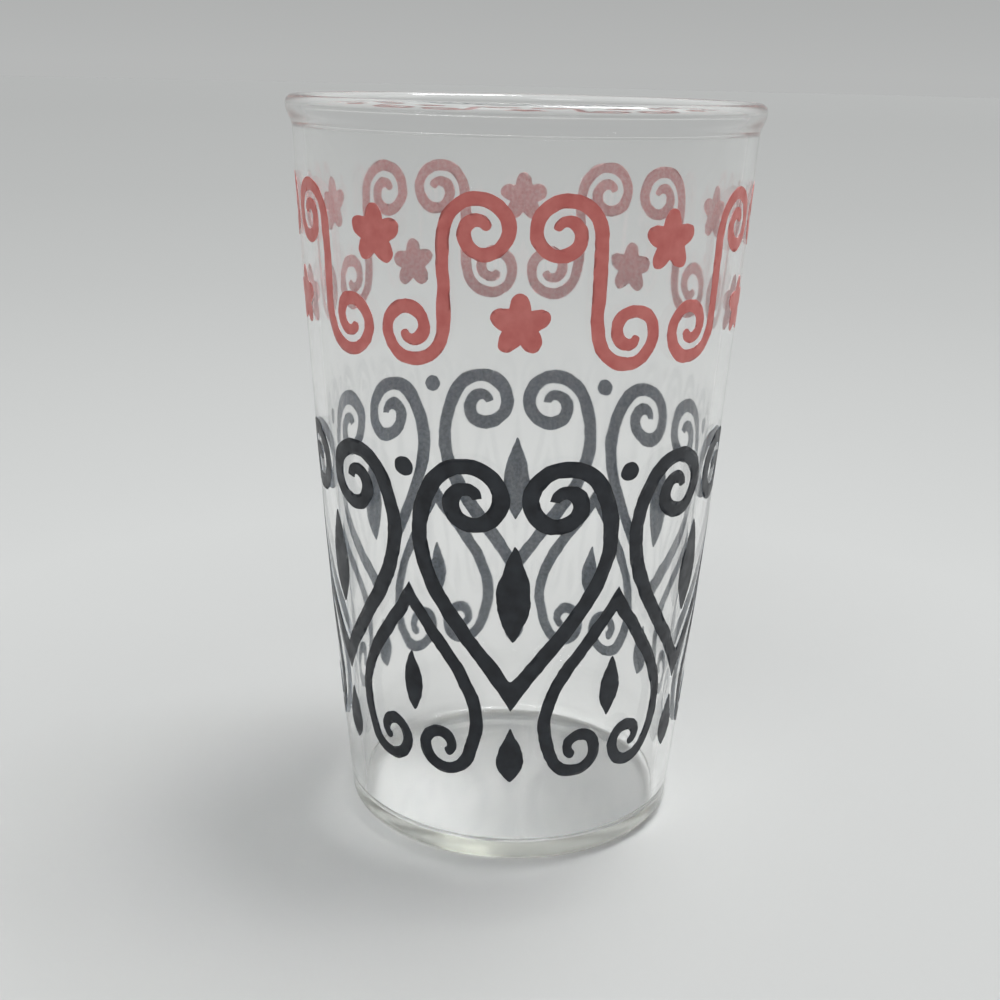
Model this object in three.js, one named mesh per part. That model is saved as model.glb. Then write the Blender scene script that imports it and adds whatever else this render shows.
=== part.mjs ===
// A printed juice glass: one clear tumbler with a beaded rim, carrying two bands of fired enamel.
// The upper band is a coral frieze of S-scrolls and blossoms.
// The lower band is a black frieze of scrolled hearts and leaves.
// Millimetres, +Z up, origin on the table under the middle of the foot.
import * as THREE from "three";

// Tumbler
const HEIGHT = 95;
const FOOT_RADIUS = 22.1; // outer wall carried straight down to the table
const RIM_RADIUS = 29.3; // outer wall carried straight up to the rim
const BELLY = 0.56; // swell of the wall past that straight line, at mid height
const WALL_AT_FOOT = 1.8;
const WALL_AT_RIM = 1.4;
const FLOOR_THICKNESS = 1.8; // at its middle, over the top of the push-up
const FLOOR_FILLET = 1.4;
const HEEL_RADIUS = 2;
const FOOT_RING_WIDTH = 0.7; // flat ring that the glass stands on
const PUSH_UP = 0.6; // rise of the domed underside inside the foot ring
const BEAD_OVERHANG = 0.65;
const BEAD_HEIGHT = 3.3;

// Enamel print
const ENAMEL_THICKNESS = 0.1;
const ENAMEL_CLEARANCE = 0.06; // off the true wall, more than the sag of the longest flat
const EYE_RADIUS = 0.9; // innermost turn of every spiral, to the middle of the stroke
const EYE_WIDTH = 1.1; // stroke width at the eye of a spiral

// Coral frieze
const CORAL_BELOW_BEAD = 5.7;
const CORAL_HEIGHT = 20.5;
const CORAL_STROKE = 1.6;
const SCROLL_COUNT = 10; // even, because neighbours mirror each other
const SCROLL_SPACING = 1; // bare glass between two scrolls
const SCROLL_TURNS = 1.5;
const SCROLL_LEAVES_AT = -20; // degrees below level at which the stem leaves the upper spiral
const STEM_EASE = 0.4; // share of the stem's length that its curve takes to settle
const BLOSSOM_RADIUS = 3.8;
const BLOSSOM_NOTCH = 1.6; // depth of the notch between two petals
const BLOSSOM_PETALS = 5;
const BLOSSOM_OFFSET = 4.6; // above or below the middle of the frieze

// Black frieze
const BAND_GAP = 10; // bare glass between the two friezes
const BLACK_HEIGHT = 43;
const BLACK_STROKE = 2;
const HEART_COUNT = 6;
const HEART_SPACING = 3.2; // bare glass between two hearts
const HEART_CLEFT = 0.9; // bare glass between the two spirals of a heart
const HEART_TURNS = 1.45;
const HEART_FULLNESS = 0.42; // share of a side's height that keeps the shoulder's direction
const HEART_FLARE = 0.42; // share of a side's width that the line to the point heads for
const HEART_FLARE_RISE = 0.3; // share of a side's height at which it heads there
const SMALL_STROKE = 1.7;
const SMALL_TURNS = 1.2;
const SMALL_HEART_DROP = 13; // point of a small heart below the shoulders of the large ones
const SMALL_HEART_SPACING = 2.4; // bare glass between a small heart and a drop
const LEAF_LENGTH = 12.5;
const LEAF_WIDTH = 4.3;
const SMALL_LEAF_LENGTH = 8.2;
const SMALL_LEAF_WIDTH = 3;
const LEAF_OFF_SPIRALS = 1.3; // bare glass between a leaf and the spirals over it
const LEAF_WIDEST = 0.45; // share of a leaf's length at which it is widest
const DROP_LENGTH = 7.5;
const DROP_WIDTH = 3.8;
const DROP_WIDEST = 0.35;
const DROP_BELOW_HEART = 2.4; // bare glass between a drop and the point above it
const TIP_WIDTH = 0.3; // narrowest end of a leaf or a drop
const PEARL_RADIUS = 1.25;
const PEARL_BELOW_TOP = 2.1; // middle of a pearl below the top of the frieze

// Fineness of the faceted solids
const LATHE_SEGMENTS = 64;
const WALL_STEPS = 6;
const ARC_STEPS = 4;
const DOME_STEPS = 5;
const BEAD_STEPS = 7;
const STEPS_PER_TURN = 10;
const LINK_STEP = 2.8; // longest step along the plain stretch of a stroke
const EYE_STEPS = 4; // steps over which a stroke widens from its eye
const LEAF_STEPS = 6;
const EDGES = [1, -1]; // a slim stroke meets the wall at its two edges
const EDGES_AND_MIDDLE = [1, 0, -1]; // a wide one along its middle too
const PETAL_STEPS = 4;
const PEARL_STEPS = 10;

// Finishes
const GLASS = { color: 0xe3ebe6, roughness: 0.05, metalness: 0, transparent: true, opacity: 0.35 };
const CORAL = { color: 0xc4574b, roughness: 0.45, metalness: 0 };
const BLACK = { color: 0x23262b, roughness: 0.4, metalness: 0 };

const lerp = THREE.MathUtils.lerp;

// Outer radius of the wall at a height.
function wallRadius(z) {
  const up = z / HEIGHT;
  return lerp(FOOT_RADIUS, RIM_RADIUS, up) + BELLY * 4 * up * (1 - up);
}

// Inner radius of the wall at a height.
function boreRadius(z) {
  return wallRadius(z) - lerp(WALL_AT_FOOT, WALL_AT_RIM, z / HEIGHT);
}

// Points of an arc of a circle or an ellipse, by its angles in radians.
function arc(x, y, radiusX, radiusY, from, to, steps) {
  const curve = new THREE.EllipseCurve(x, y, radiusX, radiusY, from, to, to < from);
  return curve.getPoints(steps);
}

// Points along one side of the wall between two heights, without the ends themselves.
function wallSide(radiusAt, fromHeight, toHeight) {
  return Array.from({ length: WALL_STEPS - 1 }, (_, i) => {
    const z = lerp(fromHeight, toHeight, (i + 1) / WALL_STEPS);
    return new THREE.Vector2(radiusAt(z), z);
  });
}

// Points of the domed underside from its middle outwards, without the foot ring that it ends on.
function pushUp(ringInner) {
  return Array.from({ length: DOME_STEPS }, (_, i) => {
    const out = i / DOME_STEPS;
    return new THREE.Vector2(ringInner * out, PUSH_UP * (1 - out * out));
  });
}

// Half section of the tumbler, from the middle of the underside round to the middle of the inside floor.
function tumblerProfile() {
  const floor = PUSH_UP + FLOOR_THICKNESS;
  const ringOuter = wallRadius(HEEL_RADIUS) - HEEL_RADIUS;
  const ringInner = ringOuter - FOOT_RING_WIDTH;

  const beadMiddle = HEIGHT - BEAD_HEIGHT / 2;
  const beadFoot = HEIGHT - BEAD_HEIGHT;
  const beadOuter = wallRadius(beadMiddle) + BEAD_OVERHANG;
  const beadInner = boreRadius(beadMiddle);
  const beadCentre = (beadOuter + beadInner) / 2;
  const beadReach = (beadOuter - beadInner) / 2;
  const beadStart = -Math.acos((wallRadius(beadFoot) - beadCentre) / beadReach);

  const filletTop = floor + FLOOR_FILLET;
  const filletCentre = boreRadius(filletTop) - FLOOR_FILLET;
  return [
    ...pushUp(ringInner),
    new THREE.Vector2(ringInner, 0),
    ...arc(ringOuter, HEEL_RADIUS, HEEL_RADIUS, HEEL_RADIUS, -Math.PI / 2, 0, ARC_STEPS),
    ...wallSide(wallRadius, HEEL_RADIUS, beadFoot),
    ...arc(beadCentre, beadMiddle, beadReach, BEAD_HEIGHT / 2, beadStart, Math.PI / 2, BEAD_STEPS),
    ...arc(beadCentre, beadMiddle, beadReach, BEAD_HEIGHT / 2, Math.PI / 2, Math.PI, ARC_STEPS).slice(1),
    ...wallSide(boreRadius, beadMiddle, filletTop),
    ...arc(filletCentre, filletTop, FLOOR_FILLET, FLOOR_FILLET, 0, -Math.PI / 2, ARC_STEPS),
    new THREE.Vector2(0, floor),
  ];
}

function tumbler() {
  const geometry = new THREE.LatheGeometry(tumblerProfile(), LATHE_SEGMENTS);
  geometry.rotateX(Math.PI / 2);
  return named("tumbler", geometry, GLASS);
}

function named(name, geometry, finish) {
  const mesh = new THREE.Mesh(geometry, new THREE.MeshStandardMaterial(finish));
  mesh.name = name;
  return mesh;
}

// A printed band, unrolled flat: x runs round the glass at the band's middle height, y runs up from there.
function band(low, high, count) {
  const middle = (low + high) / 2;
  const radius = wallRadius(middle);
  return { middle, radius, halfHeight: (high - low) / 2, cell: (2 * Math.PI * radius) / count };
}

const coralHigh = HEIGHT - BEAD_HEIGHT - CORAL_BELOW_BEAD;
const coralLow = coralHigh - CORAL_HEIGHT;
const coralBand = band(coralLow, coralHigh, SCROLL_COUNT);
const blackHigh = coralLow - BAND_GAP;
const blackBand = band(blackHigh - BLACK_HEIGHT, blackHigh, HEART_COUNT);

// A flat point of a band's cell, wrapped on the wall and lifted off it.
function onWall(place, cellNumber, point, lift) {
  const angle = (cellNumber * place.cell + point.x) / place.radius;
  const z = place.middle + point.y;
  const radius = wallRadius(z) + ENAMEL_CLEARANCE + lift;
  return [radius * Math.sin(angle), -radius * Math.cos(angle), z];
}

function solid(positions, triangles) {
  const geometry = new THREE.BufferGeometry();
  geometry.setAttribute("position", new THREE.Float32BufferAttribute(positions.flat(), 3));
  geometry.setIndex(triangles);
  return geometry;
}

// A stroke of enamel along a flat centreline, with a half width for each point. Corners are mitred.
// Across holds the shares of the half width, from left to right, at which the stroke meets the wall.
function stroke(place, cellNumber, centreline, halfWidths, across) {
  const last = centreline.length - 1;
  const corners = [];
  centreline.forEach((point, i) => {
    const arrive = point.clone().sub(centreline[Math.max(i - 1, 0)]).normalize();
    const leave = centreline[Math.min(i + 1, last)].clone().sub(point).normalize();
    const along = arrive.clone().add(leave).normalize();
    const mitre = i === 0 || i === last ? 1 : 1 / along.dot(leave);
    const side = new THREE.Vector2(-along.y, along.x).multiplyScalar(halfWidths[i] * mitre);
    const row = across.map((share) => point.clone().addScaledVector(side, share));
    corners.push(...row.map((corner) => onWall(place, cellNumber, corner, 0)));
    row.reverse();
    corners.push(...row.map((corner) => onWall(place, cellNumber, corner, ENAMEL_THICKNESS)));
  });
  const round = 2 * across.length;
  const end = last * round;
  const triangles = [];
  for (let i = 0; i < last; i++) {
    for (let edge = 0; edge < round; edge++) {
      const a = i * round + edge;
      const b = i * round + ((edge + 1) % round);
      triangles.push(a, a + round, b, b, a + round, b + round);
    }
  }
  for (let edge = 1; edge < round - 1; edge++) {
    triangles.push(0, edge, edge + 1);
    triangles.push(end, end + edge + 1, end + edge);
  }
  return solid(corners, triangles);
}

// Half widths of a scroll: full along its length and finer at its two eyes.
function scrollWidths(count, width) {
  return Array.from({ length: count }, (_, i) => {
    const fromEye = Math.min(i, count - 1 - i);
    return lerp(EYE_WIDTH, width, Math.min(fromEye / EYE_STEPS, 1)) / 2;
  });
}

// Radius of a spiral at a share of a turn before its rim.
function radiusBefore(rimRadius, turns, turnsBack) {
  return lerp(rimRadius, EYE_RADIUS, turnsBack / turns);
}

// Rim radius of the spiral whose rim, plus its radius at a share of a turn before, makes a given span.
function rimForSpan(span, rimShare, turns, turnsBack) {
  const back = turnsBack / turns;
  return (span - back * EYE_RADIUS) / (rimShare + 1 - back);
}

// A flat spiral from its eye to its rim, where it leaves at an angle. Spin is 1 for anticlockwise.
function spiral(eye, rimRadius, turns, leaveAngle, spin) {
  const steps = Math.round(turns * STEPS_PER_TURN);
  return Array.from({ length: steps + 1 }, (_, i) => {
    const turnsBack = turns * (1 - i / steps);
    const angle = leaveAngle - spin * 2 * Math.PI * turnsBack;
    const radius = radiusBefore(rimRadius, turns, turnsBack);
    return new THREE.Vector2(radius * Math.cos(angle), radius * Math.sin(angle)).add(eye);
  });
}

// Direction in which a centreline leaves its last point.
function heading(points) {
  return points.at(-1).clone().sub(points.at(-2)).normalize();
}

// Points of a smooth link between two ends, without the ends themselves.
function link(from, fromHandle, toHandle, to) {
  const curve = new THREE.CubicBezierCurve(from, fromHandle, toHandle, to);
  return curve.getSpacedPoints(Math.ceil(curve.getLength() / LINK_STEP)).slice(1, -1);
}

function mirrored(points) {
  return points.map((point) => new THREE.Vector2(-point.x, point.y));
}

// An upright S-scroll: its upper spiral lies left of the stem, and its lower one is that turned half round.
function sScroll() {
  const leaveAngle = THREE.MathUtils.degToRad(SCROLL_LEAVES_AT);
  const backToCrown = (Math.PI / 2 - leaveAngle) / (2 * Math.PI);
  const backToFarSide = (Math.PI - leaveAngle) / (2 * Math.PI);
  const span = (coralBand.cell - SCROLL_SPACING - CORAL_STROKE) / 2;
  const rimRadius = rimForSpan(span, Math.cos(leaveAngle), SCROLL_TURNS, backToFarSide);
  const crownRadius = radiusBefore(rimRadius, SCROLL_TURNS, backToCrown);
  const eye = new THREE.Vector2(
    -rimRadius * Math.cos(leaveAngle),
    coralBand.halfHeight - CORAL_STROKE / 2 - crownRadius,
  );
  const upper = spiral(eye, rimRadius, SCROLL_TURNS, leaveAngle, -1);
  const lower = upper.map((point) => point.clone().negate()).reverse();
  const reach = STEM_EASE * upper.at(-1).distanceTo(lower[0]);
  const handle = upper.at(-1).clone().addScaledVector(heading(upper), reach);
  const stem = link(upper.at(-1), handle, handle.clone().negate(), lower[0]);
  return [...upper, ...stem, ...lower];
}

// A flat spot of enamel: an outline round a centre, by a radius for each angle.
function spot(place, cellNumber, centre, radiusAt, steps) {
  const ring = Array.from({ length: steps }, (_, i) => {
    const angle = (i / steps) * 2 * Math.PI;
    const radius = radiusAt(angle);
    return new THREE.Vector2(radius * Math.sin(angle), radius * Math.cos(angle)).add(centre);
  });
  const corners = [centre, ...ring].flatMap((point) => [
    onWall(place, cellNumber, point, 0),
    onWall(place, cellNumber, point, ENAMEL_THICKNESS),
  ]);
  const triangles = [];
  for (let i = 1; i <= steps; i++) {
    const a = 2 * i;
    const b = 2 * ((i % steps) + 1);
    triangles.push(0, a, b, 1, b + 1, a + 1);
    triangles.push(a, a + 1, b, b, a + 1, b + 1);
  }
  return solid(corners, triangles);
}

// A blossom of round petals.
function blossom(cellNumber, centre) {
  const radiusAt = (angle) => {
    const petal = Math.abs(Math.cos((BLOSSOM_PETALS * angle) / 2));
    return BLOSSOM_RADIUS - BLOSSOM_NOTCH * (1 - petal);
  };
  return spot(coralBand, cellNumber, centre, radiusAt, BLOSSOM_PETALS * PETAL_STEPS);
}

function coralFrieze() {
  const frieze = new THREE.Group();
  const scroll = sScroll();
  const flipped = mirrored(scroll);
  const widths = scrollWidths(scroll.length, CORAL_STROKE);
  for (let i = 0; i < SCROLL_COUNT; i++) {
    const even = i % 2 === 0;
    const geometry = stroke(coralBand, i + 0.5, even ? scroll : flipped, widths, EDGES);
    frieze.add(named(`coral_scroll_${i + 1}`, geometry, CORAL));
    const centre = new THREE.Vector2(0, even ? -BLOSSOM_OFFSET : BLOSSOM_OFFSET);
    frieze.add(named(`coral_blossom_${i + 1}`, blossom(i, centre), CORAL));
  }
  return frieze;
}

// An upright heart drawn in one stroke: two spirals that curl inwards, and sides that meet in a point.
// It fills a width, from a crown height down to a point height.
function heart(width, strokeWidth, turns, crown, point) {
  const span = (width - HEART_CLEFT) / 2 - strokeWidth;
  const rimRadius = rimForSpan(span, 1, turns, 0.5);
  const eye = new THREE.Vector2(
    -HEART_CLEFT / 2 - strokeWidth / 2 - radiusBefore(rimRadius, turns, 0.5),
    crown - strokeWidth / 2 - radiusBefore(rimRadius, turns, 0.25),
  );
  const lobe = spiral(eye, rimRadius, turns, Math.PI, 1);
  const shoulder = lobe.at(-1);
  const tip = new THREE.Vector2(0, point);
  const fall = shoulder.y - tip.y;
  const shoulderHandle = shoulder.clone().addScaledVector(heading(lobe), HEART_FULLNESS * fall);
  const tipHandle = new THREE.Vector2(HEART_FLARE * shoulder.x, tip.y + HEART_FLARE_RISE * fall);
  const side = [...lobe, ...link(shoulder, shoulderHandle, tipHandle, tip)];
  const spiralFoot = eye.y - radiusBefore(rimRadius, turns, 0.75) - strokeWidth / 2;
  return { line: [...side, tip, ...mirrored(side).reverse()], shoulder: shoulder.y, spiralFoot };
}

// A leaf along an upright line, widest at a share of its length and drawn out to a tip at both ends.
function leaf(cellNumber, low, high, width, widest) {
  const centreline = [];
  const halfWidths = [];
  const swell = Math.log(0.5) / Math.log(widest);
  for (let i = 0; i <= LEAF_STEPS; i++) {
    const up = i / LEAF_STEPS;
    centreline.push(new THREE.Vector2(0, lerp(low, high, up)));
    halfWidths.push(Math.max(width * Math.sin(Math.PI * up ** swell), TIP_WIDTH) / 2);
  }
  return stroke(blackBand, cellNumber, centreline, halfWidths, EDGES_AND_MIDDLE);
}

function blackFrieze() {
  const frieze = new THREE.Group();
  const { cell, halfHeight } = blackBand;
  const dropTop = DROP_LENGTH - halfHeight;
  const largePoint = dropTop + DROP_BELOW_HEART + BLACK_STROKE;
  const large = heart(cell - HEART_SPACING, BLACK_STROKE, HEART_TURNS, halfHeight, largePoint);
  const largeWidths = scrollWidths(large.line.length, BLACK_STROKE);

  // A small heart is drawn upright and then turned over.
  const smallPoint = SMALL_HEART_DROP - large.shoulder;
  const smallWidth = cell - DROP_WIDTH - 2 * SMALL_HEART_SPACING;
  const small = heart(smallWidth, SMALL_STROKE, SMALL_TURNS, halfHeight, smallPoint);
  const smallLine = small.line.map((point) => new THREE.Vector2(point.x, -point.y));
  const smallWidths = scrollWidths(smallLine.length, SMALL_STROKE);

  const leafHigh = large.spiralFoot - LEAF_OFF_SPIRALS;
  const leafLow = leafHigh - LEAF_LENGTH;
  const smallLeafLow = LEAF_OFF_SPIRALS - small.spiralFoot;
  const smallLeafHigh = smallLeafLow + SMALL_LEAF_LENGTH;
  const pearlCentre = new THREE.Vector2(0, halfHeight - PEARL_BELOW_TOP);
  for (let i = 0; i < HEART_COUNT; i++) {
    const between = i + 0.5;
    const marks = {
      heart: stroke(blackBand, i, large.line, largeWidths, EDGES),
      heart_leaf: leaf(i, leafLow, leafHigh, LEAF_WIDTH, LEAF_WIDEST),
      drop: leaf(i, -halfHeight, dropTop, DROP_WIDTH, DROP_WIDEST),
      pearl: spot(blackBand, between, pearlCentre, () => PEARL_RADIUS, PEARL_STEPS),
      small_heart: stroke(blackBand, between, smallLine, smallWidths, EDGES),
      small_leaf: leaf(between, smallLeafLow, smallLeafHigh, SMALL_LEAF_WIDTH, LEAF_WIDEST),
    };
    for (const [name, geometry] of Object.entries(marks)) {
      frieze.add(named(`black_${name}_${i + 1}`, geometry, BLACK));
    }
  }
  return frieze;
}

const juiceGlass = new THREE.Group();
juiceGlass.add(tumbler(), coralFrieze(), blackFrieze());

export default juiceGlass;
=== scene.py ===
# %% [markdown]
# # A printed juice glass
#
# This lesson dresses a small drinking glass: one clear tumbler with a beaded rim, and two bands of
# coloured enamel that were printed round the outside and fired on. The measured solids come from the
# CAD frame, and every dressed piece takes the place of one of them. Blender adds what faceted solids
# can't show: glass that is truly round, the soft edges of a print, and finishes that catch the light.

# %% Load the frame
import math

import bmesh
import bpy
from mathutils import Matrix, Vector, noise


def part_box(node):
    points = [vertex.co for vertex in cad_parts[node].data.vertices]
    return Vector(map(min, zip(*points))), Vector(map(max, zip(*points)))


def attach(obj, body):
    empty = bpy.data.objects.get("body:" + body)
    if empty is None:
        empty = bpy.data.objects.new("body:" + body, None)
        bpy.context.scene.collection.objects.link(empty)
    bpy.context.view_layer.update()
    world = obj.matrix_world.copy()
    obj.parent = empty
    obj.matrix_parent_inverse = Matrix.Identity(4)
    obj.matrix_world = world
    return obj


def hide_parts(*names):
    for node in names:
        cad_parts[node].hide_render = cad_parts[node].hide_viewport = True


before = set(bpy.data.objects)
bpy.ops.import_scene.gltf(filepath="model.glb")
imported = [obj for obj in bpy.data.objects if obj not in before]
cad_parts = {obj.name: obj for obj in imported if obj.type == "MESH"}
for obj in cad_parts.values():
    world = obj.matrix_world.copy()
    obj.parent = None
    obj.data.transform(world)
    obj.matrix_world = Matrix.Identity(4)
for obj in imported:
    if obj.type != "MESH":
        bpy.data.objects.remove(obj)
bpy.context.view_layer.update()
bpy.ops.object.select_all(action="DESELECT")
print("CAD nodes in the frame:", len(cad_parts))

# %% [markdown]
# ## The section of the tumbler
#
# A tumbler is a body of revolution, so its whole shape is one half section: the underside, the foot
# ring that it stands on, the round heel, the slightly swelling wall, the rim bead, and then the inside
# back down to the floor. The numbers are those of the CAD model, in metres. They are written as a few
# sizes and two formulas, because the print has to follow the very same wall later.

# %% Sizes of the tumbler
MM = 0.001
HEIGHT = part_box("tumbler")[1].z
FOOT_RADIUS = 22.1 * MM
RIM_RADIUS = 29.3 * MM
BELLY = 0.56 * MM
WALL_AT_FOOT = 1.8 * MM
WALL_AT_RIM = 1.4 * MM
FLOOR_THICKNESS = 1.8 * MM
FLOOR_FILLET = 1.4 * MM
HEEL_RADIUS = 2 * MM
FOOT_RING_WIDTH = 0.7 * MM
PUSH_UP = 0.6 * MM
BEAD_OVERHANG = 0.65 * MM
BEAD_HEIGHT = 3.3 * MM


def lerp(start, end, share):
    return start + (end - start) * share


def wall_radius(z):
    up = z / HEIGHT
    return lerp(FOOT_RADIUS, RIM_RADIUS, up) + BELLY * 4 * up * (1 - up)


def bore_radius(z):
    return wall_radius(z) - lerp(WALL_AT_FOOT, WALL_AT_RIM, z / HEIGHT)


print(f"Wall radius at the foot and rim: {wall_radius(0):.4f}, {wall_radius(HEIGHT):.4f} m")

# %% [markdown]
# ## Curves for the section
#
# Round stretches are worked out as arcs. The top of the bead is half a circle, and below that the bead
# eases into the wall, because molten glass never keeps a sharp corner. Many short steps matter more on
# glass than on anything else: every facet would show as a kink in whatever is seen through it.

# %% Curves of the section
WALL_STEPS = 48
HEEL_STEPS = 14
BEAD_STEPS = 36
FILLET_STEPS = 16
DISC_STEPS = 16
TAPER_STEPS = 40
BEAD_REACH = 4 * MM
TAPER_ENDS = HEIGHT - BEAD_REACH


def section_point(radius, z):
    return Vector((radius, 0, z))


def arc(centre, reach, start, end, steps):
    angles = [lerp(start, end, i / steps) for i in range(steps + 1)]
    offsets = [(reach.x * math.cos(angle), reach.z * math.sin(angle)) for angle in angles]
    return [section_point(centre.x + out, centre.z + up) for out, up in offsets]


def side(radius_at, low, high):
    heights = [lerp(low, high, i / WALL_STEPS) for i in range(1, WALL_STEPS)]
    return [section_point(radius_at(z), z) for z in heights]


def ease(share):
    # Starts and ends without a jump in slope or in bend
    return share ** 3 * (10 - 15 * share + 6 * share * share)


def disc(radius, low, rise):
    shares = [i / DISC_STEPS for i in range(DISC_STEPS)]
    return [section_point(radius * out, low + rise * (1 - out * out)) for out in shares]


def underside():
    ring_outer = wall_radius(HEEL_RADIUS) - HEEL_RADIUS
    ring_inner = ring_outer - FOOT_RING_WIDTH
    heel_centre = section_point(ring_outer, HEEL_RADIUS)
    heel_reach = section_point(HEEL_RADIUS, HEEL_RADIUS)
    heel = arc(heel_centre, heel_reach, -math.pi / 2, 0, HEEL_STEPS)
    return disc(ring_inner, 0, PUSH_UP) + [section_point(ring_inner, 0)] + heel


def bead_centre():
    half = (WALL_AT_RIM + BEAD_OVERHANG) / 2
    middle = HEIGHT - half
    return section_point(wall_radius(middle) + BEAD_OVERHANG - half, middle), half


def bead_and_wall():
    centre, half = bead_centre()
    wall = side(wall_radius, HEEL_RADIUS, TAPER_ENDS)
    heights = [lerp(TAPER_ENDS, centre.z, i / TAPER_STEPS) for i in range(TAPER_STEPS)]
    swells = [BEAD_OVERHANG * ease(i / TAPER_STEPS) for i in range(TAPER_STEPS)]
    taper = [section_point(wall_radius(z) + swell, z) for z, swell in zip(heights, swells)]
    return wall + taper + arc(centre, section_point(half, half), 0, math.pi, BEAD_STEPS)


def inside():
    floor = PUSH_UP + FLOOR_THICKNESS
    fillet_top = floor + FLOOR_FILLET
    fillet_centre = section_point(bore_radius(fillet_top) - FLOOR_FILLET, fillet_top)
    fillet_reach = section_point(FLOOR_FILLET, FLOOR_FILLET)
    fillet = arc(fillet_centre, fillet_reach, 0, -math.pi / 2, FILLET_STEPS)
    bore = side(bore_radius, bead_centre()[0].z, fillet_top)
    return bore + fillet + disc(fillet_centre.x, floor, 0)[::-1]


section = underside() + bead_and_wall() + inside()
print("Points on the half section:", len(section))

# %% [markdown]
# ## Spinning the tumbler
#
# By hand this is a vertex extruded along the section and then spun round the axis. A Screw modifier on
# a curve would do the same, but Spin leaves a plain mesh at once. A spun mesh has a seam, two poles and
# faces that may point inwards, so its doubles are merged first, and its normals are recalculated after.

# %% Spin the tumbler
SPIN_STEPS = 256
WELD = 0.001 * MM


def draw_wire(points):
    bpy.ops.mesh.primitive_plane_add(size=MM, location=points[0])
    bpy.ops.object.mode_set(mode="EDIT")
    bpy.ops.mesh.select_mode(type="VERT")
    bpy.ops.mesh.merge(type="CENTER")
    for here, there in zip(points, points[1:]):
        bpy.ops.mesh.extrude_region_move(TRANSFORM_OT_translate={"value": there - here})


def spin_wire():
    bpy.ops.mesh.select_all(action="SELECT")
    bpy.ops.mesh.spin(steps=SPIN_STEPS, angle=2 * math.pi, center=(0, 0, 0), axis=(0, 0, 1))
    bpy.ops.mesh.select_all(action="SELECT")
    bpy.ops.mesh.remove_doubles(threshold=WELD)
    bpy.ops.mesh.normals_make_consistent(inside=False)
    bpy.ops.object.mode_set(mode="OBJECT")
    bpy.ops.object.transform_apply(location=True, rotation=True, scale=True)
    bpy.ops.object.shade_smooth()


draw_wire(section)
spin_wire()
tumbler = bpy.context.object
tumbler.name = "clear_tumbler"
tumbler.data.name = tumbler.name
print("Tumbler faces:", len(tumbler.data.polygons))

# %% [markdown]
# ## Waves in the bore
#
# Pressed glass is only true on the side that met the mould. The bore was shaped by a plunger and then
# flowed a little in the flame, so it waves by a few hundredths of a millimetre. That is far too little
# to see as a shape, but it makes the far side of the glass swim slightly when seen through the near
# side. A noise moves the bore's vertices in and out, and fades out at the floor and below the bead.

# %% Wave the bore
WAVE_DEPTH = 0.03 * MM
WAVE_LENGTH = 14 * MM
WAVE_FADE = 12 * MM


def wave_bore(piece):
    low = PUSH_UP + FLOOR_THICKNESS + FLOOR_FILLET
    high = HEIGHT - BEAD_HEIGHT
    moved = 0
    for vertex in piece.data.vertices:
        radius = math.hypot(vertex.co.x, vertex.co.y)
        inside_wall = radius < (wall_radius(vertex.co.z) + bore_radius(vertex.co.z)) / 2
        if not (inside_wall and low < vertex.co.z < high):
            continue
        fade = min((vertex.co.z - low) / WAVE_FADE, (high - vertex.co.z) / WAVE_FADE, 1)
        wave = WAVE_DEPTH * fade * noise.noise(vertex.co / WAVE_LENGTH)
        share = (radius + wave) / radius
        vertex.co.x *= share
        vertex.co.y *= share
        moved += 1
    piece.data.update()
    return moved


print("Waved vertices of the bore:", wave_bore(tumbler))

# %% [markdown]
# ## Nodes that every finish uses
#
# The finishes are made of a few shader nodes on Object coordinates, so a pattern has a real size in
# metres and needs no UV map. By hand the nodes are added in the Shader Editor. As functions they are
# written once and used by the glass, the print and the paper. A noise seldom leaves the middle of its
# range, so only that stretch of it is spread over the full range of a finish.

# %% Nodes for the finishes
NOISE_LOW = 0.3
NOISE_HIGH = 0.7


def new_material(name):
    material = bpy.data.materials.new(name)
    material.use_nodes = True
    nodes = material.node_tree.nodes
    return material, nodes, material.node_tree.links, nodes["Principled BSDF"]


def noise_on_object(nodes, links, size, detail):
    place = nodes.new("ShaderNodeTexCoord")
    texture = nodes.new("ShaderNodeTexNoise")
    texture.inputs["Scale"].default_value = 1 / size
    texture.inputs["Detail"].default_value = detail
    links.new(place.outputs["Object"], texture.inputs["Vector"])
    return texture.outputs["Fac"]


def mapped(nodes, links, value, start, end, low, high):
    span = nodes.new("ShaderNodeMapRange")
    span.inputs["From Min"].default_value = start
    span.inputs["From Max"].default_value = end
    span.inputs["To Min"].default_value = low
    span.inputs["To Max"].default_value = high
    links.new(value, span.inputs["Value"])
    return span.outputs["Result"]


def added(nodes, links, one, other):
    total = nodes.new("ShaderNodeMath")
    links.new(one, total.inputs[0])
    links.new(other, total.inputs[1])
    return total.outputs["Value"]


print("Stretch of a noise that is used:", NOISE_LOW, "to", NOISE_HIGH)

# %% [markdown]
# ## Clear glass
#
# Glass needs little: full transmission, the refractive index of soda-lime glass, and a body that
# swallows a trace of light, so that the thick base looks faintly green. The rest is wear. A noise makes
# the surface hazier in patches, the floor inside and the rim are rubbed duller by use, and the heel
# keeps its polish. All of that is added up into one roughness, by height and by place.

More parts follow.
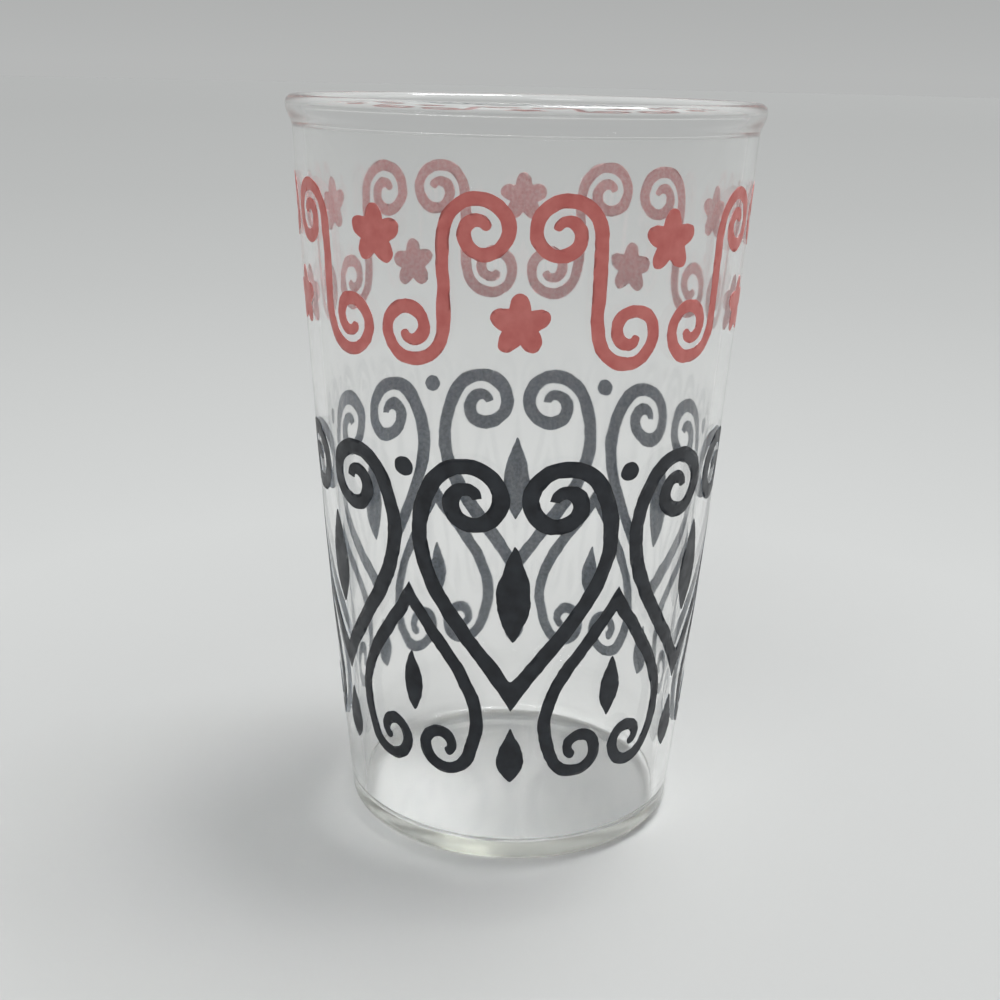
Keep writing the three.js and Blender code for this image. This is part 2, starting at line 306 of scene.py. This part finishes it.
# %% Glass finish
GLASS_IOR = 1.52
GLASS_TINT = (0.93, 0.95, 0.87, 1)
GLASS_DENSITY = 18
GLASS_ROUGH_LOW = 0.01
GLASS_ROUGH_HIGH = 0.045
HAZE_PATCH = 9 * MM
HAZE_DETAIL = 4
FLOOR_WEAR = 0.095
FLOOR_BAND = 0.3 * MM
FOOT_POLISH = -0.008
FOOT_ENDS = 2 * MM
FOOT_FADE = 0.3 * MM
RIM_WEAR = 0.05
RIM_WEAR_STARTS = HEIGHT - BEAD_REACH
RIM_FADE = 1.5 * MM


def wear(nodes, links):
    place = nodes.new("ShaderNodeTexCoord")
    split = nodes.new("ShaderNodeSeparateXYZ")
    links.new(place.outputs["Object"], split.inputs["Vector"])
    height = split.outputs["Z"]
    at_floor = nodes.new("ShaderNodeMath")
    at_floor.operation = "COMPARE"
    at_floor.inputs[1].default_value = PUSH_UP + FLOOR_THICKNESS
    at_floor.inputs[2].default_value = FLOOR_BAND
    links.new(height, at_floor.inputs[0])
    floor = mapped(nodes, links, at_floor.outputs["Value"], 0, 1, 0, FLOOR_WEAR)
    rim = mapped(nodes, links, height, RIM_WEAR_STARTS, RIM_WEAR_STARTS + RIM_FADE, 0, RIM_WEAR)
    foot = mapped(nodes, links, height, FOOT_ENDS, FOOT_ENDS + FOOT_FADE, FOOT_POLISH, 0)
    return added(nodes, links, added(nodes, links, floor, rim), foot)


def clear_glass():
    material, nodes, links, surface = new_material("clear_glass")
    surface.inputs["Base Color"].default_value = (1, 1, 1, 1)
    surface.inputs["IOR"].default_value = GLASS_IOR
    surface.inputs["Transmission Weight"].default_value = 1
    patches = noise_on_object(nodes, links, HAZE_PATCH, HAZE_DETAIL)
    haze = mapped(nodes, links, patches, NOISE_LOW, NOISE_HIGH, GLASS_ROUGH_LOW, GLASS_ROUGH_HIGH)
    links.new(added(nodes, links, haze, wear(nodes, links)), surface.inputs["Roughness"])
    body = nodes.new("ShaderNodeVolumeAbsorption")
    body.inputs["Color"].default_value = GLASS_TINT
    body.inputs["Density"].default_value = GLASS_DENSITY
    links.new(body.outputs["Volume"], nodes["Material Output"].inputs["Volume"])
    return material


tumbler.data.materials.append(clear_glass())
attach(tumbler, "root")
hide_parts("tumbler")
print("Glass finish on:", tumbler.name)

# %% [markdown]
# ## From a faceted mark to a printed one
#
# Each printed mark is a thin deposit of enamel. The CAD solid has its outline in straight steps, and a
# Subdivision Surface turns such an outline into a smooth curve. Left alone it would also melt the rim
# of the deposit, so edges that turn sharply are creased. The corners at the end of a stroke are left
# soft, which gives the round end that a brush or a cut stencil leaves. A vertex group remembers which
# vertices lie on the outer face, and the smoothing carries the group along.

# %% Smooth one mark
EYE_WIDTH = 1.1 * MM
EYE_TOLERANCE = 0.04 * MM
SHARP_TURN = math.radians(70)
FLAT_ENOUGH = math.radians(40)
SQUARE_ENOUGH = math.radians(120)
MARK_LEVELS = 2
CAD_FILM_MIDDLE = 0.11 * MM


def make_active(piece):
    bpy.ops.object.select_all(action="DESELECT")
    piece.select_set(True)
    bpy.context.view_layer.objects.active = piece


def copy_of_node(name):
    piece = bpy.data.objects.new(f"fired_{name}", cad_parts[name].data.copy())
    piece.data.name = piece.name
    piece.data.materials.clear()
    bpy.context.scene.collection.objects.link(piece)
    make_active(piece)
    return piece


def mark_outer_face(piece):
    lifts = [math.hypot(v.co.x, v.co.y) - wall_radius(v.co.z) for v in piece.data.vertices]
    outer = [i for i, lift in enumerate(lifts) if lift > CAD_FILM_MIDDLE]
    piece.vertex_groups.new(name="outer").add(outer, 1, "REPLACE")


def ends_stroke(face):
    return abs(max(edge.calc_length() for edge in face.edges) - EYE_WIDTH) < EYE_TOLERANCE


def runs_through_film(edge):
    start, end = (Vector((v.co.x, v.co.y, 0)) for v in edge.verts)
    return abs(end.length - start.length) > edge.calc_length() / 2


def select_crisp_edges(piece):
    mesh = bmesh.from_edit_mesh(piece.data)
    for edge in mesh.edges:
        sharp = edge.calc_face_angle(0) > SHARP_TURN
        soft_end = runs_through_film(edge) and any(ends_stroke(face) for face in edge.link_faces)
        edge.select_set(sharp and not soft_end)
    bmesh.update_edit_mesh(piece.data)


def smooth_mark(name):
    piece = copy_of_node(name)
    mark_outer_face(piece)
    bpy.ops.object.mode_set(mode="EDIT")
    bpy.ops.mesh.select_mode(type="EDGE")
    bpy.ops.mesh.select_all(action="SELECT")
    bpy.ops.mesh.remove_doubles(threshold=WELD)
    bpy.ops.mesh.tris_convert_to_quads(face_threshold=FLAT_ENOUGH, shape_threshold=SQUARE_ENOUGH)
    bpy.ops.mesh.select_all(action="DESELECT")
    select_crisp_edges(piece)
    bpy.ops.transform.edge_crease(value=1)
    bpy.ops.object.mode_set(mode="OBJECT")
    rounding = piece.modifiers.new("rounding", "SUBSURF")
    rounding.levels = MARK_LEVELS
    rounding.render_levels = MARK_LEVELS
    bpy.ops.object.modifier_apply(modifier=rounding.name)
    return piece


mark_names = [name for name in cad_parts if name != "tumbler"]
marks = {name: smooth_mark(name) for name in mark_names}
print("Marks smoothed:", len(marks), "with faces:", sum(len(m.data.polygons) for m in marks.values()))

# %% [markdown]
# ## Setting the marks on the wall
#
# Fired enamel is fused to the glass and only a few hundredths of a millimetre thick. So every vertex is
# put back on the true wall: the inner face just inside the glass, and the outer face, known by its
# vertex group, a film's thickness above it. The same step gives the outline its printed look. Ink
# creeps under a screen, so the edge of a mark wanders. Two noises, one slow and one fine, push the
# vertices along the wall and never off it. Blender starts its vector noise at a random place in every
# session, so a seed is set first, and the print comes out the same each time.

# %% Set the marks on the wall
FILM_THICKNESS = 0.05 * MM
FILM_SUNK = 0.012 * MM
SLOW_WANDER = 0.18 * MM
SLOW_LENGTH = 2.6 * MM
FINE_WANDER = 0.09 * MM
FINE_LENGTH = 0.7 * MM
WANDER_SEED = 7
OUTER_ENOUGH = 0.5


def wander(place):
    slow = noise.noise_vector(place / SLOW_LENGTH) * SLOW_WANDER
    fine = noise.noise_vector(place / FINE_LENGTH) * FINE_WANDER
    return slow + fine


def on_wall(place, lift):
    flat = Vector((place.x, place.y, 0)).normalized()
    radius = wall_radius(place.z) + lift
    return Vector((flat.x * radius, flat.y * radius, place.z))


def set_on_wall(piece):
    for vertex in piece.data.vertices:
        is_outer = any(share.weight > OUTER_ENOUGH for share in vertex.groups)
        foot = on_wall(vertex.co, 0)
        foot += wander(foot)
        vertex.co = on_wall(foot, FILM_THICKNESS if is_outer else -FILM_SUNK)
    piece.vertex_groups.clear()
    piece.data.update()
    make_active(piece)
    bpy.ops.object.shade_smooth_by_angle(angle=SHARP_TURN)


noise.seed_set(WANDER_SEED)
for piece in marks.values():
    set_on_wall(piece)
print("Marks set on the wall:", len(marks))

# %% [markdown]
# ## Fired enamel
#
# The two colours are the same ware: a ground glass with pigment, printed through a screen and fired at a
# low heat. It is satin rather than glossy, lies a little thicker in some places than in others, and
# shows the faint grain of the screen. One function makes both, from two shades of the colour. The face
# that is fused to the glass is what shows of the print on the far side, through the wall. Little light
# reaches that face through the glass, so it has a finish of its own: a much paler copy of the colour,
# which is painted light, with a finer grain.

# %% Enamel finishes
CORAL_THIN = (0.78, 0.235, 0.21, 1)
CORAL_FULL = (0.67, 0.16, 0.145, 1)
BLACK_THIN = (0.017, 0.022, 0.031, 1)
BLACK_FULL = (0.005, 0.007, 0.012, 1)
# The underside colours are painted light: much paler than the enamel itself, because little light
# reaches the fused face through the glass.
CORAL_UNDER_PAINTED_LIGHT_THIN = (0.92, 0.68, 0.68, 1)
CORAL_UNDER_PAINTED_LIGHT_FULL = (0.79, 0.41, 0.41, 1)
BLACK_UNDER_PAINTED_LIGHT_THIN = (0.240, 0.285, 0.345, 1)
BLACK_UNDER_PAINTED_LIGHT_FULL = (0.105, 0.130, 0.165, 1)
INK_PATCH = 1.8 * MM
UNDER_PATCH = 0.45 * MM
INK_DETAIL = 5
SCREEN_GRAIN = 0.25 * MM
GRAIN_DETAIL = 2
GRAIN_HEIGHT = 0.006 * MM
ENAMEL_ROUGH_LOW = 0.34
ENAMEL_ROUGH_HIGH = 0.52


def fired_enamel(name, thin, full, patch):
    material, nodes, links, surface = new_material(name)
    patches = noise_on_object(nodes, links, patch, INK_DETAIL)
    shade = nodes.new("ShaderNodeMix")
    shade.data_type = "RGBA"
    shade.inputs["A"].default_value = thin
    shade.inputs["B"].default_value = full
    links.new(mapped(nodes, links, patches, NOISE_LOW, NOISE_HIGH, 0, 1), shade.inputs["Factor"])
    links.new(shade.outputs["Result"], surface.inputs["Base Color"])
    rough = mapped(nodes, links, patches, NOISE_LOW, NOISE_HIGH, ENAMEL_ROUGH_LOW, ENAMEL_ROUGH_HIGH)
    links.new(rough, surface.inputs["Roughness"])
    grain = nodes.new("ShaderNodeBump")
    grain.inputs["Distance"].default_value = GRAIN_HEIGHT
    links.new(noise_on_object(nodes, links, SCREEN_GRAIN, GRAIN_DETAIL), grain.inputs["Height"])
    links.new(grain.outputs["Normal"], surface.inputs["Normal"])
    return material


def finish_mark(piece, faces):
    for material in faces:
        piece.data.materials.append(material)
    for face in piece.data.polygons:
        outward = Vector((face.center.x, face.center.y, 0))
        face.material_index = 1 if face.normal.dot(outward) < 0 else 0


enamels = {
    # The second finish of each pair, for the fused face, is a paler copy with painted light.
    "coral": (
        fired_enamel("coral_enamel", CORAL_THIN, CORAL_FULL, INK_PATCH),
        fired_enamel("coral_underside_painted_light", CORAL_UNDER_PAINTED_LIGHT_THIN, CORAL_UNDER_PAINTED_LIGHT_FULL, UNDER_PATCH),
    ),
    "black": (
        fired_enamel("black_enamel", BLACK_THIN, BLACK_FULL, INK_PATCH),
        fired_enamel("black_underside_painted_light", BLACK_UNDER_PAINTED_LIGHT_THIN, BLACK_UNDER_PAINTED_LIGHT_FULL, UNDER_PATCH),
    ),
}
for name, piece in marks.items():
    colour = name.split("_")[0]
    finish_mark(piece, enamels[colour])
    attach(piece, "root")
    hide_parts(name)
print("Enamel finishes:", [m.name for pair in enamels.values() for m in pair])

# %% [markdown]
# ## The tone of the paper
#
# A clear glass is drawn by what stands around it, so the stage matters more than usual. The glass stands
# on wide pale paper. Its grey changes slowly with the distance from the glass, and this is painted light
# and shade: a little lighter round the foot and darker farther off, as the light falls off. The stops
# are pairs of a distance in metres and a grey, and they lie on a log scale, so that a few of them serve
# the paper round the foot and the paper far off. Away from the glass, painted shade also darkens the
# paper toward the front. It stands in for a dim room on that side, which the wall mirrors, and in a dim
# room a clear wall looks clear instead of milky.

# %% Painted light and shade on the paper
FLOOR_RADIUS = 8
# Painted light and shade: the grey of the paper falls off with the distance from the glass.
PAPER_PAINTED_LIGHT_STOPS = (
    (0.07, 0.593),
    (0.13, 0.622),
    (0.3, 0.562),
    (0.5, 0.52),
    (1, 0.49),
    (3, 0.476),
    (FLOOR_RADIUS, 0.486),
)
DECADE = 10
DIM_STARTS = 0.3
DIM_FULL = 1.2
DIM_SIDE = 0.5
DIM_FRONT = -0.2
GREY_RED = 0.985
GREY_BLUE = 0.993
NEW_STOP = 0.5


def grey(level):
    return (level * GREY_RED, level, level * GREY_BLUE, 1)


def grey_ramp(nodes, stops):
    ramp = nodes.new("ShaderNodeValToRGB")
    steps = ramp.color_ramp.elements
    while len(steps) < len(stops):
        steps.new(NEW_STOP)
    for step, (place, level) in zip(steps, stops):
        step.position = place
        step.color = grey(level)
    return ramp


def toward_front(nodes, links, direction, at_back, at_front):
    split = nodes.new("ShaderNodeSeparateXYZ")
    links.new(direction, split.inputs["Vector"])
    return mapped(nodes, links, split.outputs["Y"], DIM_SIDE, DIM_FRONT, at_back, at_front)


def distance_in_decades(nodes, links, place):
    reach = nodes.new("ShaderNodeVectorMath")
    reach.operation = "LENGTH"
    decades = nodes.new("ShaderNodeMath")
    decades.operation = "LOGARITHM"
    decades.inputs[1].default_value = DECADE
    links.new(place, reach.inputs["Vector"])
    links.new(reach.outputs["Value"], decades.inputs[0])
    return decades.outputs["Value"]


# Painted light and shade, by the distance from the glass
def painted_paper_light(nodes, links, decades):
    first, last = (math.log10(PAPER_PAINTED_LIGHT_STOPS[i][0]) for i in (0, -1))
    stops = [((math.log10(away) - first) / (last - first), level) for away, level in PAPER_PAINTED_LIGHT_STOPS]
    ramp = grey_ramp(nodes, stops)
    links.new(mapped(nodes, links, decades, first, last, 0, 1), ramp.inputs["Fac"])
    return ramp.outputs["Color"]


# Painted shade on the paper, toward the front and far from the glass
def painted_front_shade(nodes, links, place, decades):
    direction = nodes.new("ShaderNodeVectorMath")
    direction.operation = "NORMALIZE"
    links.new(place, direction.inputs["Vector"])
    both = nodes.new("ShaderNodeMath")
    both.operation = "MULTIPLY"
    links.new(toward_front(nodes, links, direction.outputs["Vector"], 0, 1), both.inputs[0])
    far_off = mapped(nodes, links, decades, math.log10(DIM_STARTS), math.log10(DIM_FULL), 0, 1)
    links.new(far_off, both.inputs[1])
    return both.outputs["Value"]


print("Greys of the paper, from the glass outward:", [level for away, level in PAPER_PAINTED_LIGHT_STOPS])

# %% [markdown]
# ## Laying the paper
#
# The paper is one round sheet, so wide that its edge lies close to the horizon. It lies a hair below the
# foot, because two faces at one height would flicker. Its finish mixes the painted light and shade of
# its tone with the painted shade toward the front.

# %% Paper floor
FLOOR_SIDES = 128
FLOOR_GAP = 0.05 * MM
PAPER_ROUGHNESS = 0.75
# Grey of the painted shade toward the front, which stands in for a dim room
PAINTED_SHADE_GREY = 0.21


def paper():
    material, nodes, links, surface = new_material("paper")
    surface.inputs["Roughness"].default_value = PAPER_ROUGHNESS
    place = nodes.new("ShaderNodeTexCoord").outputs["Object"]
    decades = distance_in_decades(nodes, links, place)
    shade = nodes.new("ShaderNodeMix")
    shade.data_type = "RGBA"
    shade.inputs["B"].default_value = grey(PAINTED_SHADE_GREY)
    links.new(painted_paper_light(nodes, links, decades), shade.inputs["A"])
    links.new(painted_front_shade(nodes, links, place, decades), shade.inputs["Factor"])
    links.new(shade.outputs["Result"], surface.inputs["Base Color"])
    return material


bpy.ops.object.select_all(action="DESELECT")
bpy.ops.mesh.primitive_circle_add(vertices=FLOOR_SIDES, radius=FLOOR_RADIUS, fill_type="NGON")
floor = bpy.context.object
floor.name = "paper_floor"
floor.location.z = -FLOOR_GAP
floor.data.materials.append(paper())
print("Floor radius:", FLOOR_RADIUS, "m")

# %% [markdown]
# ## Lamps
#
# The key lamp is wide and far off, above the glass to the right and the back, as a large window would
# be. It throws the soft shadow to the left. A fill from the front left lights the print, a strip
# overhead draws white lines on the rim, and a lamp at the right lifts that side. All four are Area
# lamps aimed at the middle of the glass, and the camera doesn't see the lamps themselves.

# %% Lamps
KEY_PLACE = Vector((17.4, 10.5, 60))
KEY_SIZE = (27, 27)
KEY_POWER = 25000
FILL_PLACE = Vector((-0.35, -0.9, 1.0))
FILL_SIZE = (0.5, 0.5)
FILL_POWER = 2
STRIP_PLACE = Vector((0.07, 0.02, 0.75))
STRIP_SIZE = (0.02, 0.14)
STRIP_POWER = 0.26
SIDE_PLACE = Vector((1.2, -0.12, 1.2))
SIDE_SIZE = (0.8, 0.8)
SIDE_POWER = 2.2
LIT_POINT = Vector((0, 0, HEIGHT / 2))


def soft_lamp(name, place, size, power):
    aim = (LIT_POINT - place).to_track_quat("-Z", "Y").to_euler()
    bpy.ops.object.light_add(type="AREA", location=place, rotation=aim)
    lamp = bpy.context.object
    lamp.name = name
    lamp.data.shape = "RECTANGLE"
    lamp.data.size, lamp.data.size_y = size
    lamp.data.energy = power
    lamp.visible_camera = False


soft_lamp("key_lamp", KEY_PLACE, KEY_SIZE, KEY_POWER)
soft_lamp("fill_lamp", FILL_PLACE, FILL_SIZE, FILL_POWER)
soft_lamp("strip_lamp", STRIP_PLACE, STRIP_SIZE, STRIP_POWER)
soft_lamp("side_lamp", SIDE_PLACE, SIDE_SIZE, SIDE_POWER)

# %% [markdown]
# ## Sky of the studio
#
# Above the paper there is only sky. A ramp by height gives its grey: near the horizon it is close to the
# paper, so no line shows where the sheet ends, and overhead it is brighter, as under a pale ceiling.
# Like the painted shade on the paper, it is dimmed toward the front, with a strength that depends on the
# direction.

# %% Sky of the studio
SKY_STOPS = ((0, 0.476), (0.045, 0.438), (0.2, 0.43), (0.45, 0.55), (1, 0.55))
DIM_SKY = 0.5


def studio_sky():
    world = bpy.data.worlds.new("studio")
    world.use_nodes = True
    nodes, links = world.node_tree.nodes, world.node_tree.links
    direction = nodes.new("ShaderNodeTexCoord").outputs["Generated"]
    split = nodes.new("ShaderNodeSeparateXYZ")
    ramp = grey_ramp(nodes, SKY_STOPS)
    links.new(direction, split.inputs["Vector"])
    links.new(split.outputs["Z"], ramp.inputs["Fac"])
    links.new(ramp.outputs["Color"], nodes["Background"].inputs["Color"])
    strength = toward_front(nodes, links, direction, 1, DIM_SKY)
    links.new(strength, nodes["Background"].inputs["Strength"])
    bpy.context.scene.world = world


studio_sky()
print("Sky levels:", SKY_STOPS)

# %% [markdown]
# ## Light paths
#
# A ray through the glass meets four faces of the wall, and more in the base, the bead and the print. A
# path that ends too soon turns black, so the paths are long. The blur of glossy paths is switched off,
# because it would soften the fine highlights that a rim of glass lives by.

# %% Light paths
PATH_LENGTH = 32

paths = bpy.context.scene.cycles
paths.max_bounces = PATH_LENGTH
paths.glossy_bounces = PATH_LENGTH
paths.transmission_bounces = PATH_LENGTH
paths.blur_glossy = 0
print("Longest light path:", paths.max_bounces)

# %% [markdown]
# ## The camera
#
# The camera stands where the photographer stood: close, a little above the rim, looking down on the
# glass. Its place and lens were fitted to the rim, the foot and the sides of the glass. It is turned in
# three steps, as a head turns on a tripod: round the upright, then down, then a small roll.

# %% Camera
CAMERA_PLACE = Vector((0, -185.15, 98.57)) * MM
CAMERA_YAW = math.radians(-0.67)
CAMERA_PITCH = math.radians(16.87)
CAMERA_ROLL = math.radians(1.27)
LENS = 51.35
NEAREST_SEEN = 10 * MM

bpy.ops.object.camera_add(location=CAMERA_PLACE)
camera = bpy.context.object
turn = Matrix.Rotation(-CAMERA_YAW, 4, "Z")
tilt = Matrix.Rotation(math.pi / 2 - CAMERA_PITCH, 4, "X")
roll = Matrix.Rotation(CAMERA_ROLL, 4, "Z")
camera.matrix_world = Matrix.Translation(CAMERA_PLACE) @ turn @ tilt @ roll
camera.data.lens = LENS
camera.data.clip_start = NEAREST_SEEN
bpy.context.scene.camera = camera
bpy.context.scene.view_settings.view_transform = "Standard"
print("Camera at", tuple(round(v, 4) for v in CAMERA_PLACE))
